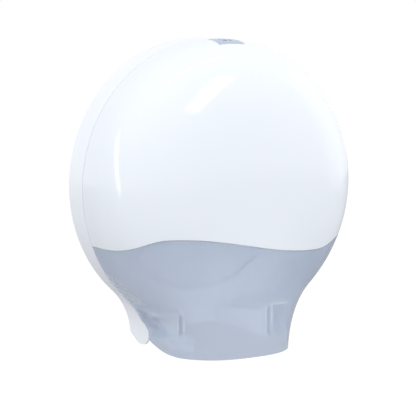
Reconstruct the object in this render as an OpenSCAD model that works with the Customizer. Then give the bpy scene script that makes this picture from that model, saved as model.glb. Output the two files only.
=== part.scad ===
// Jumbo toilet roll dispenser, wall mounted. Millimetres.
// X runs across the front, Y into the wall, Z up. The origin is the centre of the round casing on the wall.

/* [Casing outline] */
// Radius of the round casing
shell_r = 170; // [165:1:175]
// Half width of the neck at the wall
neck_back = 91; // [88:1:94]
// Half width of the neck at the front
neck_front = 75; // [72:1:80]
// Radius of the hollow flare into the neck, at the wall
flare_r = 77; // [74:1:82]
// Height of the open bottom edge, below the centre
bottom_drop = 195; // [193:1:197]

/* [Casing depth] */
// Depth of the back tray's rim
rim_depth = 34; // [33:1:36]
// Depth of the rim at its waist, above the ears
waist_depth = 18; // [16:1:20]
// Depth at which the side wall starts to round over
wall_depth = 38; // [37:1:42]
// Depth of the front at its edge
face_depth = 120; // [118:1:124]
// Extra depth of the domed front at its centre
dome = 8; // [5:1:9]
// Thickness of the moulded walls
wall = 2.5; // [2:0.1:3]
// Squareness of the front edge on the round part
round_power = 3.6; // [3.4:0.1:4.4]
// Squareness of the front edge on the neck
neck_power = 3.2; // [3:0.1:3.6]

/* [Wave between shell and window] */
// Height of the seam at the left edge, below the centre
wave_left = 66; // [62:1:70]
// Height of the crest, below the centre
wave_crest = 52.5; // [48:0.5:56]
// Height of the trough, below the centre
wave_trough = 78; // [74:1:82]
// Height of the seam at the right edge, below the centre
wave_right = 59; // [56:1:64]
// Gap along the seam
seam_gap = 0.4; // [0.3:0.1:0.6]

/* [Hinge] */
// Distance of the hinge axis from the wall
hinge_depth = 22.5; // [22:0.5:24]
// Distance of the hinge axis below the centre
hinge_drop = 173.5; // [173:0.5:175]
// Radius of the ear's nose round the hinge axis
ear_r = 15.5; // [15:0.5:16]
// Gap between the cover and the tray
cover_gap = 0.5; // [0.4:0.1:0.8]
// Radius of the hinge pins
pin_r = 2.5; // [2:0.5:3]
// Cover left over the end of each hinge pin
pin_skin = 1.6; // [1.4:0.1:2]
// Running clearance round the hinge pins
pin_clear = 0.08; // [0.04:0.01:0.1]
// Width of each hinge eye
eye_w = 5; // [4:0.5:6]
// Radius of each hinge eye
eye_r = 6.5; // [6:0.5:7]

/* [Back tray] */
// Distance between the wall screws, across
screw_x = 190; // [180:5:200]
// Distance between the wall screws, up and down
screw_z = 160; // [150:5:170]
// Radius of the wall screw holes
screw_hole_r = 2.75; // [2.5:0.25:3]
// Height of the stiffening ribs
rib_h = 4; // [3:0.5:5]
// Thickness of the stiffening ribs
rib_t = 1.8; // [1.5:0.1:2.2]

/* [Spindle and hub] */
// Distance of the spindle below the centre
spindle_drop = 8; // [6:1:10]
// Outside radius of the spindle
spindle_r = 10; // [9:0.5:11]
// Bore of the spindle
spindle_bore = 7; // [6:0.5:7.5]
// Length of the spindle from the tray
spindle_l = 92; // [90:1:95]
// Side of the spindle's square flange
flange_w = 58; // [54:1:60]
// Thickness of the flange
flange_t = 4; // [3.5:0.5:5]
// Radius of the roll hub's fins, for a 60 mm core
hub_r = 28.5; // [27:0.5:29]
// Running clearance between spindle and hub
hub_clear = 0.08; // [0.05:0.01:0.1]
// Radius of the hub's tube
hub_tube_r = 13; // [12.5:0.5:14]
// Number of fins on the hub
fins = 6; // [4:1:8]
// Radius of the hub's back flange
hub_flange_r = 38; // [36:1:42]

/* [Lock] */
// Distance of the lock from the wall
lock_depth = 66; // [65:1:68]
// Side of the square lock plate
lock_plate_w = 34; // [33:1:36]
// Radius of the lock barrel
barrel_r = 6; // [5.5:0.5:6.5]
// Running clearance round the barrel
barrel_clear = 0.08; // [0.05:0.01:0.1]
// Length of the cam's arm
cam_l = 27; // [26:0.5:28]
// Thickness of the cam
cam_t = 2; // [1.5:0.5:2.5]

/* [Paper guides] */
// Distance of each guide's inner face from the middle
guide_x = 56; // [54:1:58]
// Width of each guide's channel
guide_w = 10; // [9:0.5:12]
// Height of the guide's shelf, below the centre
guide_top = 147; // [145:1:149]
// Height of the guide's lower edge, below the centre
guide_drop = 187; // [185:1:189]
// Depth of the guides' front ends
guide_depth = 69; // [66:1:72]
// Wall of the guides
guide_t = 2; // [1.6:0.2:2.4]

/* [Hidden] */
$fn = 48;
eps = 0.01;

// ---- the casing's outline, by depth d and inset i -------------------------------------------

function mix(a, b, t) = a + (b - a) * t;
bottom_z = -bottom_drop;
flare_x = neck_back + flare_r;
turn_angle = -40;

// Half width of the straight neck, and the flare's radius and centre height, at depth d
function neck_at(d) = mix(neck_back, neck_front, d / (face_depth + dome));
function flare_at(d) = flare_x - neck_at(d);
function flare_z(d) = -sqrt(pow(shell_r + flare_at(d), 2) - pow(flare_x, 2));
function tangent_z(d, i) = flare_z(d) * (shell_r - i) / (shell_r + flare_at(d));

// Half width of the outline at height z: circle, hollow flare, then straight neck
function outline_x(z, d, i) =
    z > tangent_z(d, i) ? sqrt(pow(shell_r - i, 2) - z * z)
    : z > flare_z(d) ? flare_x - sqrt(pow(flare_at(d) + i, 2) - pow(z - flare_z(d), 2))
    : neck_at(d) - i;

// A column of the skin is [angle, share]: an angle on the circle, or a share of the way down to the edge
function column_list(round_cols, neck_cols) = concat(
    [for (k = [0:round_cols]) [mix(90, turn_angle, k / round_cols), 0]],
    [for (k = [1:neck_cols]) [turn_angle, k / neck_cols]]);
round_cols = 24;
neck_cols = 12;
columns = column_list(round_cols, neck_cols);
function edge_point(col, d, i) =
    col[1] == 0 ? (shell_r - i) * [cos(col[0]), sin(col[0])]
    : let (z = mix((shell_r - i) * sin(turn_angle), bottom_z, col[1])) [outline_x(z, d, i), z];
// Share by which the spine point has sunk, which starts and ends gently
function sink(col) = col[1] * col[1] * (2 - col[1]);
function spine_point(col) = [0, bottom_z * sink(col)];
function power_of(col) = mix(round_power, neck_power, sink(col));
// How far the side wall has drawn in at depth d, as a share of the outline
function side_share(d, power) =
    d <= wall_depth ? 1 : pow(1 - pow((d - wall_depth) / (face_depth - wall_depth), power), 1 / power);

// Point of a column at depth d and at share c of the way out from the spine
function skin_point(col, d, c, i) =
    let (s = spine_point(col), p = s + (edge_point(col, d, i) - s) * c) [p[0], -d, p[1]];
function face_depth_at(c, f, i) = wall_depth + (face_depth - i - wall_depth) * f + dome * (1 - c * c);

// Steps up a column: along the side wall, then round the edge and over the front to the spine
turn_steps = 10;
function section(col, i) = concat(
    [skin_point(col, waist_depth, 1, i), skin_point(col, wall_depth, 1, i)],
    [for (k = [1:turn_steps])
        let (a = 90 * k / turn_steps, n = 2 / power_of(col),
             c = k == turn_steps ? 0 : pow(cos(a), n), f = pow(sin(a), n))
        skin_point(col, face_depth_at(c, f, i), c, i)]);

// ---- the whole hollow casing as one closed skin ---------------------------------------------

cols = len(columns);
rows = turn_steps + 2;
side_n = cols * (rows - 1);
skin_n = 2 * side_n + cols;
function skin_points(i) =
    let (grid = [for (col = columns) section(col, i)])
    concat([for (k = [0:cols - 1], j = [0:rows - 2]) grid[k][j]],
           [for (k = [0:cols - 1], j = [0:rows - 2]) let (p = grid[k][j]) [-p[0], p[1], p[2]]],
           [for (k = [0:cols - 1]) grid[k][rows - 1]]);
// Index of a point: side 0 is right, 1 is left; the round part's columns share one pole
function skin_id(side, k, j) =
    j == rows - 1 ? 2 * side_n + max(k, round_cols)
    : (k == 0 ? 0 : side) * side_n + k * (rows - 1) + j;
function quad(a, b, c, d, flip) =
    [for (t = [[a, b, c], [a, c, d]])
        if (t[0] != t[1] && t[1] != t[2] && t[0] != t[2]) flip ? [t[2], t[1], t[0]] : t];
casing_faces = [for (side = [0, 1]) each concat(
    [for (k = [0:cols - 2], j = [0:rows - 2]) each quad(
        skin_id(side, k, j), skin_id(side, k + 1, j),
        skin_id(side, k + 1, j + 1), skin_id(side, k, j + 1), side == 1)],
    [for (k = [0:cols - 2], j = [0:rows - 2]) each quad(
        skin_n + skin_id(side, k, j), skin_n + skin_id(side, k + 1, j),
        skin_n + skin_id(side, k + 1, j + 1), skin_n + skin_id(side, k, j + 1), side == 0)],
    [for (k = [0:cols - 2]) each quad(
        skin_id(side, k, 0), skin_n + skin_id(side, k, 0),
        skin_n + skin_id(side, k + 1, 0), skin_id(side, k + 1, 0), side == 1)],
    [for (j = [0:rows - 2]) each quad(
        skin_id(side, cols - 1, j), skin_n + skin_id(side, cols - 1, j),
        skin_n + skin_id(side, cols - 1, j + 1), skin_id(side, cols - 1, j + 1), side == 1)])];

module casing() {
    polyhedron(concat(skin_points(0), skin_points(wall)), casing_faces, convexity = 6);
}

// ---- helpers --------------------------------------------------------------------------------

// Turns a profile drawn across X and Z so that it is extruded forward, from depth d0 to depth d1
module along_y(d0, d1) {
    translate([0, -d0, 0]) rotate([90, 0, 0]) linear_extrude(d1 - d0) children();
}
// Extrudes a profile drawn across depth and Z, centred across X
module across_x(w) {
    rotate([90, 0, -90]) translate([0, 0, -w / 2]) linear_extrude(w) children();
}
module rod_y(x, z, d0, d1, r) {
    translate([x, -d0, z]) rotate([90, 0, 0]) cylinder(r = r, h = d1 - d0);
}
module rod_x(x0, x1, d, z, r) {
    translate([x0, -d, z]) rotate([0, 90, 0]) cylinder(r = r, h = x1 - x0);
}
module block(x0, x1, d0, d1, z0, z1) {
    translate([x0, -d1, z0]) cube([x1 - x0, d1 - d0, z1 - z0]);
}
module both_sides() {
    children();
    mirror([1, 0, 0]) children();
}

// ---- the wave -------------------------------------------------------------------------------

wave_crest_x = -106;
wave_trough_x = 98;
function ease(a, b, t) = mix(a, b, (1 - cos(180 * max(0, min(1, t)))) / 2);
function wave(x) = -(
    x < wave_crest_x ? ease(wave_left, wave_crest, (x + shell_r - 8) / (wave_crest_x + shell_r - 8))
    : x < wave_trough_x ? ease(wave_crest, wave_trough, (x - wave_crest_x) / (wave_trough_x - wave_crest_x))
    : ease(wave_trough, wave_right, (x - wave_trough_x) / (shell_r - 2 - wave_trough_x)));
wave_steps = 36;
module wave_region(above) {
    reach = shell_r + 10;
    shift = above ? seam_gap / 2 : -seam_gap / 2;
    far = above ? reach : -(bottom_drop + 10);
    polygon(concat(
        [for (k = [0:wave_steps]) let (x = mix(-reach, reach, k / wave_steps)) [x, wave(x) + shift]],
        [[reach, far], [-reach, far]]));
}

// ---- side profile of the tray, with its ears -------------------------------------------------

// The rim keeps its depth down to rim_drop, draws in to the waist, then widens into the ear's nose
rim_drop = 20;
waist_drop = 130;
rim_steps = 12;
function rim_at(z) =
    z > -rim_drop ? rim_depth
    : z > -waist_drop ? mix(rim_depth, waist_depth, pow((-rim_drop - z) / (waist_drop - rim_drop), 2))
    : mix(waist_depth, hinge_depth + ear_r, pow((-waist_drop - z) / (hinge_drop - waist_drop), 1.3));
// Angle behind the hinge at which the nose runs out straight to the wall
tail_angle = 35;
module tray_profile(grow) {
    hinge = [hinge_depth, -hinge_drop];
    tail = hinge - (ear_r + grow) * [sin(tail_angle), cos(tail_angle)];
    union() {
        polygon(concat(
            [[-1, shell_r + 5], [rim_depth + grow, shell_r + 5]],
            [for (k = [0:rim_steps]) let (z = mix(-rim_drop, -waist_drop, k / rim_steps))
                [rim_at(z) + grow, z]],
            [for (k = [1:rim_steps]) let (z = mix(-waist_drop, -hinge_drop, k / rim_steps))
                [rim_at(z) + grow, z]],
            [hinge, tail, [-1, tail[1] + (tail[0] + 1) * tan(tail_angle)]]));
        translate(hinge) circle(ear_r + grow);
    }
}

// ---- back tray ------------------------------------------------------------------------------

tray_depth = hinge_depth + ear_r + 2;
tray_floor = 3;
// The tray's outside or its hollow: the outline lofted from the wall to the ears' full depth
tray_columns = column_list(44, 20);
module tray_loft(d0, d1, i) {
    last = len(tray_columns) - 1;
    n = 2 * last + 1;
    ring = function (d) concat(
        [for (k = [0:last]) let (p = edge_point(tray_columns[k], d, i)) [p[0], -d, p[1]]],
        [for (k = [last:-1:1]) let (p = edge_point(tray_columns[k], d, i)) [-p[0], -d, p[1]]]);
    polyhedron(concat(ring(d0), ring(d1)), concat(
        [[for (k = [n - 1:-1:0]) k], [for (k = [0:n - 1]) n + k]],
        [for (k = [0:n - 1]) let (m = (k + 1) % n) each [[k, m, n + m], [k, n + m, n + k]]]),
        convexity = 4);
}

tray_bottom = -(hinge_drop + 1.5);
// The hinge, from the middle outwards: cheek, eye on the cover, boss in the ear's outer wall
side_play = 0.5;
cheek_x0 = guide_x + guide_w + 0.3;
cheek_t = 3;
cheek_r = 9;
cheek_foot = 10;
eye_x0 = cheek_x0 + cheek_t + side_play;
pin_x0 = cheek_x0;
pin_x1 = outline_x(-hinge_drop, hinge_depth + pin_r, 0) - pin_skin;
ear_boss_x0 = eye_x0 + eye_w + side_play;
ear_inner_x = outline_x(-hinge_drop, hinge_depth, wall);
module wall_screw_places() {
    for (sx = [-1, 1], sz = [-1, 1]) translate([sx * screw_x / 2, 0, sz * screw_z / 2]) children();
}
module ring_rib(r) {
    along_y(tray_floor - eps, tray_floor + rib_h) translate([0, -spindle_drop]) difference() {
        circle(r);
        circle(r - rib_t);
    }
}
rib_ring_inset = 45;
rib_ring_r = shell_r - rib_ring_inset;
rib_hub_gap = 22;
rib_hub_r = hub_flange_r + rib_hub_gap;
spoke_step = 0.6;
boss_r = 9;
lip_gap = 0.7;
lip_t = 1.8;
lip_l = 6;
guide_screw_x = guide_x + guide_w + 6;
guide_screw_z = -guide_top - 8.5;
small_screw_r = 1.7;
spindle_screw_r = 2;
pilot_skin = 0.8;
module back_plate() color([0.92, 0.94, 0.98]) difference() {
    union() {
        intersection() {
            difference() {
                tray_loft(0, tray_depth, 0);
                tray_loft(tray_floor, tray_depth + 1, wall);
                block(-cheek_x0, cheek_x0, -1, tray_depth + 2, bottom_z - 1, tray_bottom);
            }
            across_x(2 * shell_r + 20) tray_profile(0);
        }
        both_sides() ear_web();
        ring_rib(rib_ring_r);
        ring_rib(rib_hub_r);
        for (a = [0:45:315]) spoke(a);
        wall_screw_places() rotate([90, 0, 0]) cylinder(r = boss_r, h = tray_floor + rib_h);
        for (sx = [-1, 1], sz = [-1, 1])
            rod_y(sx * flange_screw, sz * flange_screw - spindle_drop, tray_floor - eps, tray_floor + rib_h, 5);
        top_lip();
    }
    wall_screw_places() translate([0, 1, 0]) rotate([90, 0, 0]) cylinder(r = screw_hole_r, h = 30);
    wall_screw_places() translate([0, -tray_floor, 0]) rotate([90, 0, 0]) cylinder(r = boss_r - 3, h = 30);
    both_sides() rod_x(pin_x0 - 1, pin_x1, hinge_depth, -hinge_drop, pin_r);
    // pilot holes, blind from the front
    for (sx = [-1, 1], sz = [-1, 1])
        rod_y(sx * flange_screw, sz * flange_screw - spindle_drop, pilot_skin, 30, spindle_screw_r);
    for (x = keeper_screw_x) rod_y(x, keeper_screw_z, pilot_skin, tray_floor + 1, small_screw_r);
    both_sides() rod_y(guide_screw_x, guide_screw_z, pilot_skin, tray_floor + 1, small_screw_r);
}
// Spokes between the two ring ribs, a little lower than the rings
module spoke(a) {
    translate([0, 0, -spindle_drop]) rotate([0, a, 0])
        block(rib_hub_r - 1, rib_ring_r - 1, tray_floor - eps, tray_floor + rib_h - spoke_step,
              -rib_t / 2, rib_t / 2);
}
// Lip that stands inside the cover's edge, round the top half
module top_lip() {
    intersection() {
        difference() {
            along_y(tray_floor - eps, rim_depth + lip_l) circle(r = shell_r - wall - lip_gap, $fn = 96);
            along_y(tray_floor - 1, rim_depth + lip_l + 1)
                circle(r = shell_r - wall - lip_gap - lip_t, $fn = 96);
        }
        block(-shell_r, shell_r, rim_depth - 8, rim_depth + lip_l, 20, shell_r);
    }
    // joins the lip to the rim
    intersection() {
        difference() {
            along_y(rim_depth - 8, rim_depth - 1) circle(r = shell_r - 1, $fn = 96);
            along_y(rim_depth - 9, rim_depth) circle(r = shell_r - wall - lip_gap - lip_t, $fn = 96);
        }
        block(-shell_r, shell_r, rim_depth - 8, rim_depth - 1, 20, shell_r);
    }
}
// Inner cheek of one ear, its foot, and the boss round the pin's far end
module ear_web() {
    along_x(cheek_x0, cheek_x0 + cheek_t) union() {
        translate([hinge_depth, -hinge_drop]) circle(cheek_r);
        polygon([[tray_floor - eps, -hinge_drop + cheek_r], [tray_floor - eps, -hinge_drop],
                 [hinge_depth, -hinge_drop - cheek_r], [hinge_depth, -hinge_drop + cheek_r]]);
    }
    along_x(cheek_x0, neck_at(tray_floor + cheek_foot) - wall / 4)
        translate([tray_floor - eps, -hinge_drop + cheek_r]) square([cheek_foot, cheek_t]);
    rod_x(ear_boss_x0, ear_inner_x + 0.6, hinge_depth, -hinge_drop, eye_r - 0.5);
}
module along_x(x0, x1) {
    translate([x1, 0, 0]) rotate([90, 0, -90]) linear_extrude(x1 - x0) children();
}

// ---- hinge pins -----------------------------------------------------------------------------

module hinge_pin() color([0.72, 0.73, 0.75])
    rod_x(pin_x0, pin_x1, hinge_depth, -hinge_drop, pin_r);
module hinge_pin_right() hinge_pin();
module hinge_pin_left() mirror([1, 0, 0]) hinge_pin();

// ---- paper guides ---------------------------------------------------------------------------

guide_round = 7;
guide_foot_t = 3;
guide_foot_h = 14;
shelf_rib_d = 34;
shelf_rib_h = 8;
shelf_x = 88;
// Front view of the right guide: a channel with a round shoulder, and a shelf out to the side
module guide_channel(inset) {
    x0 = guide_x + inset;
    x1 = guide_x + guide_w - inset;
    z1 = -guide_top - inset;
    z0 = -guide_drop + inset;
    r = guide_round - inset;
    intersection() {
        union() {
            translate([x0 + r, z1 - r]) circle(r);
            translate([x0 + r, z1 - r]) square([x1 - x0 - r, r]);
            translate([x0, z0]) square([x1 - x0, z1 - r - z0]);
        }
        translate([x0, z0]) square([x1 - x0, z1 - z0]);
    }
}
module paper_guide() color([0.86, 0.88, 0.92]) difference() {
    union() {
        along_y(tray_floor, guide_depth) difference() {
            union() {
                guide_channel(0);
                translate([guide_x + guide_w - eps, -guide_top - guide_t])
                    square([shelf_x - guide_x - guide_w, guide_t]);
            }
            guide_channel(guide_t);
        }
        splay_wall();
        // foot that takes the screw
        block(guide_x + guide_w - eps, shelf_x, tray_floor, tray_floor + guide_foot_t,
              -guide_top - guide_foot_h, -guide_top - guide_t + eps);
        // closed back end of the channel, and the rib under the shelf
        block(guide_x + 1, guide_x + guide_w - 1, tray_floor, tray_floor + guide_foot_t,
              -guide_drop + 1, -guide_top - 9);
        block(guide_x + guide_w - eps, shelf_x - guide_t, shelf_rib_d, shelf_rib_d + guide_t,
              -guide_top - shelf_rib_h, -guide_top - guide_t + eps);
    }
    rod_y(guide_screw_x, guide_screw_z, 0, tray_floor + 5, small_screw_r + 0.1);
}
// Inner wall, splayed so that the two guides funnel the paper tail forward
splay_x = 26;
splay_back_drop = 158;
splay_front_drop = guide_top + guide_round;
module splay_wall() {
    run = [guide_x - splay_x, guide_depth - tray_floor - guide_t];
    length = norm(run) - guide_t;
    angle = atan(run[0] / run[1]);
    translate([splay_x, -tray_floor - guide_t * sin(angle), 0]) rotate([0, 0, angle])
        rotate([90, 0, -90]) translate([0, 0, -guide_t]) linear_extrude(guide_t) polygon([
            [0, -splay_back_drop], [length, -splay_front_drop], [length, -guide_drop], [0, tray_bottom]]);
}
module paper_guide_right() paper_guide();
module paper_guide_left() mirror([1, 0, 0]) paper_guide();

// A pan-head screw along Y, its head's seat at depth d
module pan_screw(x, z, d, shank_l, r, head_r, head_h) {
    seat = d + 0.02;
    difference() {
        union() {
            rod_y(x, z, d - shank_l, seat + eps, r);
            translate([x, -seat, z]) rotate([90, 0, 0]) cylinder(r1 = head_r, r2 = head_r * 0.75, h = head_h);
        }
        translate([x, -seat - head_h, z]) for (a = [0, 90]) rotate([0, a, 0])
            cube([head_r * 1.1, head_h, head_r * 0.3], center = true);
    }
}
module guide_screws() color([0.75, 0.76, 0.78])
    both_sides()
        pan_screw(guide_screw_x, guide_screw_z, tray_floor + guide_foot_t, guide_foot_t + 2, small_screw_r, 3.4, 2);

// ---- place of the lock ------------------------------------------------------------------------

// The square plate lies along the chord of the shell's top, so the whole lock leans forward by lock_tilt
plate_t = 2;
cam_drop = 21;
cam_finger = 5;
function top_z(d) = shell_r * side_share(d, round_power);
lock_rear_z = top_z(lock_depth - lock_plate_w / 2);
lock_front_z = top_z(lock_depth + lock_plate_w / 2);
lock_tilt = atan((lock_rear_z - lock_front_z) / lock_plate_w);
recess_z = (lock_rear_z + lock_front_z) / 2 - plate_t;
module at_lock() {
    translate([0, -lock_depth, recess_z]) rotate([lock_tilt, 0, 0]) children();
}
// Depth and height of the cam's finger when it is turned behind the keeper
finger_reach = cam_l - cam_finger;
finger_depth = lock_depth - finger_reach * cos(lock_tilt) - cam_drop * sin(lock_tilt);
cam_z = recess_z - cam_drop * cos(lock_tilt) + finger_reach * sin(lock_tilt);

// ---- latch keeper ---------------------------------------------------------------------------

keeper_t = 2;
keeper_w = 20;
keeper_foot = 12;
keeper_web_t = 2;
keeper_drop = 6;
keeper_z = cam_z - keeper_drop;
keeper_screw_x = [4 - keeper_w, -4];
keeper_screw_z = keeper_z - 7;
keeper_lip_x0 = -15;
keeper_lip_x1 = -6;
keeper_lip_t = 3;
keeper_lip_rise = 2.5;
keeper_gap = 1;
keeper_front = finger_depth + keeper_gap + keeper_lip_t;
module latch_keeper() color([0.78, 0.79, 0.81]) difference() {
    union() {
        block(-keeper_w, 0, tray_floor, tray_floor + keeper_t, keeper_z - keeper_foot, keeper_z + keeper_t);
        block(-keeper_w, 0, tray_floor, keeper_front, keeper_z, keeper_z + keeper_t);
        block(keeper_lip_x0, keeper_lip_x1, keeper_front - keeper_lip_t, keeper_front,
              keeper_z, cam_z + cam_t + keeper_lip_rise);
        along_x(-(keeper_w / 2 + keeper_web_t / 2), -(keeper_w / 2 - keeper_web_t / 2)) polygon([
            [tray_floor + keeper_t, keeper_z - keeper_foot + 1], [tray_floor + keeper_t, keeper_z + eps],
            [keeper_front - 9, keeper_z + eps]]);
    }
    for (x = keeper_screw_x) rod_y(x, keeper_screw_z, 0, tray_floor + 5, small_screw_r + 0.1);
}
module keeper_screws() color([0.75, 0.76, 0.78])
    for (x = keeper_screw_x) pan_screw(x, keeper_screw_z, tray_floor + keeper_t, keeper_t + 2, small_screw_r, 3.2, 1.8);

// ---- spindle, washer, hub -------------------------------------------------------------------

flange_d0 = tray_floor + rib_h;
flange_screw = flange_w / 2 - 7;
module spindle() color([0.90, 0.92, 0.95]) translate([0, 0, -spindle_drop]) difference() {
    union() {
        along_y(flange_d0, flange_d0 + flange_t) rounded_square(flange_w, 8);
        rod_y(0, 0, flange_d0 + flange_t - eps, spindle_l, spindle_r);
        for (a = [45:90:315]) rotate([0, a, 0]) spindle_gusset();
    }
    rod_y(0, 0, -1, spindle_l - 12, spindle_bore);
    rod_y(0, 0, spindle_l - 13, spindle_l + 1, 2);
    for (sx = [-1, 1], sz = [-1, 1]) rod_y(sx * flange_screw, sz * flange_screw, 0, 30, 2.2);
}
washer_d = flange_d0 + flange_t + 6;
gusset_t = 2.2;
module spindle_gusset() {
    foot = flange_d0 + flange_t - eps;
    translate([0, 0, -gusset_t / 2]) linear_extrude(gusset_t)
        polygon([[spindle_r - 1, -foot], [spindle_r + 9, -foot], [spindle_r - 1, -(washer_d - 1)]]);
}
module rounded_square(w, r) {
    union() {
        square([w - 2 * r, w], center = true);
        square([w, w - 2 * r], center = true);
        for (x = [-1, 1], y = [-1, 1]) translate([x, y] * (w / 2 - r)) circle(r);
    }
}
module spindle_screws() color([0.75, 0.76, 0.78]) translate([0, 0, -spindle_drop])
    for (sx = [-1, 1], sz = [-1, 1])
        pan_screw(sx * flange_screw, sz * flange_screw, flange_d0 + flange_t, flange_t + 5, spindle_screw_r, 4, 2.4);

washer_t = 1.5;
module brake_washer() color([0.35, 0.36, 0.38]) translate([0, 0, -spindle_drop]) difference() {
    rod_y(0, 0, washer_d, washer_d + washer_t, 16);
    rod_y(0, 0, washer_d - 1, washer_d + washer_t + 1, spindle_r + 0.2);
}
hub_d0 = washer_d + washer_t + 0.3;
hub_d1 = spindle_l - 1;
hub_flange_t = 2.5;
sleeve_l = 42;
fin_t = 2.2;
module roll_hub() color([0.60, 0.66, 0.74]) translate([0, 0, -spindle_drop]) difference() {
    union() {
        rod_y(0, 0, hub_d0, hub_d1, hub_tube_r);
        rod_y(0, 0, hub_d0, hub_d0 + hub_flange_t, hub_flange_r);
        for (k = [0:fins - 1]) rotate([0, k * 360 / fins, 0]) fin();
        along_y(hub_d0, hub_d0 + sleeve_l) difference() {
            circle(hub_r);
            circle(hub_r - fin_t);
        }
    }
    rod_y(0, 0, hub_d0 - 1, hub_d1 + 1, spindle_r + hub_clear);
}
// One fin, which tapers at its front so that the core slides on
module fin() {
    translate([0, 0, -fin_t / 2]) linear_extrude(fin_t)
        polygon([[hub_tube_r - 1, -hub_d0], [hub_r - 1, -hub_d0], [hub_r - 0.1, -hub_d0 - 5],
                 [hub_r - 0.1, -(hub_d1 - 18)], [hub_r - 6, -hub_d1 + 2], [hub_tube_r - 1, -hub_d1 + 2]]);
}
cap_t = 3;
module hub_cap() color([0.60, 0.66, 0.74]) translate([0, 0, -spindle_drop]) difference() {
    union() {
        rod_y(0, 0, spindle_l, spindle_l + cap_t, 15);
        rod_y(0, 0, spindle_l + cap_t - eps, spindle_l + cap_t + 2, 8);
    }
    rod_y(0, 0, spindle_l - 1, spindle_l + cap_t + 3, 2.2);
    rod_y(0, 0, spindle_l + cap_t, spindle_l + cap_t + 3, 5.2);
}
module hub_screw() color([0.75, 0.76, 0.78])
    pan_screw(0, -spindle_drop, spindle_l + cap_t, 12, 2, 4, 2.4);

// ---- cover: shell, window and what joins them -----------------------------------------------

// Depth of the front at inset i: from the radius on the round part, and from the nearest columns below it
function depth_on(c, power, i) = face_depth_at(c, pow(1 - pow(c, power), 1 / power), i);
function column_place(col, x, i) =
    let (s = spine_point(col), p = edge_point(col, face_depth, i), c = x / p[0])
    [mix(s[1], p[1], c), depth_on(c, power_of(col), i)];
function front_depth(x, z, i) =
    z > abs(x) * tan(turn_angle) ? depth_on(norm([x, z]) / (shell_r - i), round_power, i)
    : lookup(z, [for (col = columns) if (col[0] == turn_angle) column_place(col, abs(x), i)]);
tab_x = [-112, -58, 6, 66, 118];
tab_w = 16;
post_r = 2;
post_rise = 9;
tab_gap = 0.5;
tab_t = 2;
tab_rise = 7;
tab_foot = 9;
tab_step = 3;
post_tip = 1.5;
// Least depth of the front's inside over a patch, where a flat tab has to clear its curve
function patch_depth(x, z0, z1) =
    min([for (dx = [-1, 1], z = [z0, z1]) front_depth(x + dx * tab_w / 2, z, wall)]);
function tab_depth(x) =
    patch_depth(x, wave(x) - tab_foot, wave(x) + post_rise + tab_rise) - tab_gap - tab_t;
function post_depth(x) = front_depth(x, wave(x) + post_rise, wall) + wall / 2;
lock_hole_r = barrel_r + 3;
plate_gap = 0.3;
recess_w = lock_plate_w + 2 * plate_gap;
recess_h = 20;
module cover_shell() color([0.95, 0.96, 0.98]) difference() {
    union() {
        difference() {
            intersection() {
                casing();
                along_y(-1, face_depth + dome + 5) wave_region(true);
            }
            across_x(2 * shell_r + 20) tray_profile(cover_gap);
        }
        at_lock() lock_seat();
        for (x = tab_x)
            rod_y(x, wave(x) + post_rise, tab_depth(x) - clip_t - post_tip, post_depth(x), post_r);
    }
    // seat of the lock plate, and the hole for the lock
    at_lock() translate([0, 0, recess_h / 2]) cube([recess_w, recess_w, recess_h], center = true);
    at_lock() translate([0, 0, -recess_h]) cylinder(r = lock_hole_r, h = 2 * recess_h);
}
// Floor under the plate and the two side walls of its recess
seat_t = 2.6;
seat_rim = 2;
seat_rise = 0.6;
module lock_seat() {
    w = lock_plate_w + 2 * seat_rim;
    translate([-w / 2, -w / 2, -seat_t]) cube([w, w, seat_t + seat_rise / 2]);
    both_sides() translate([w / 2 - seat_rim + plate_gap, -w / 2, -seat_t])
        cube([seat_rim - plate_gap, w, seat_t + seat_rise]);
}

// Arm that carries each eye on the pin, and its web
arm_w = 10;
arm_l = 28;
arm_web = 6;
arm_end = hinge_depth + arm_l;
module window_eye() {
    difference() {
        along_x(eye_x0, eye_x0 + eye_w) union() {
            translate([hinge_depth, -hinge_drop]) circle(eye_r);
            translate([hinge_depth, -hinge_drop - arm_w / 2]) square([arm_l, arm_w]);
        }
        rod_x(eye_x0 - 1, eye_x0 + eye_w + 1, hinge_depth, -hinge_drop, pin_r + pin_clear);
    }
    // web from the arm out to the side wall
    along_x(eye_x0, neck_at(arm_end) * side_share(arm_end, neck_power) - wall / 2)
        translate([arm_end - arm_web, -hinge_drop - arm_w / 2]) square([arm_web, arm_w]);
}
module cover_window() color([0.62, 0.66, 0.71, 0.75]) difference() {
    union() {
        difference() {
            intersection() {
                casing();
                along_y(-1, face_depth + dome + 5) wave_region(false);
            }
            across_x(2 * shell_r + 20) ear_clearance();
        }
        both_sides() window_eye();
        for (x = tab_x) window_tab(x);
    }
    for (x = tab_x) rod_y(x, wave(x) + post_rise, 60, face_depth + dome + 5, post_r + 0.2);
}
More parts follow.
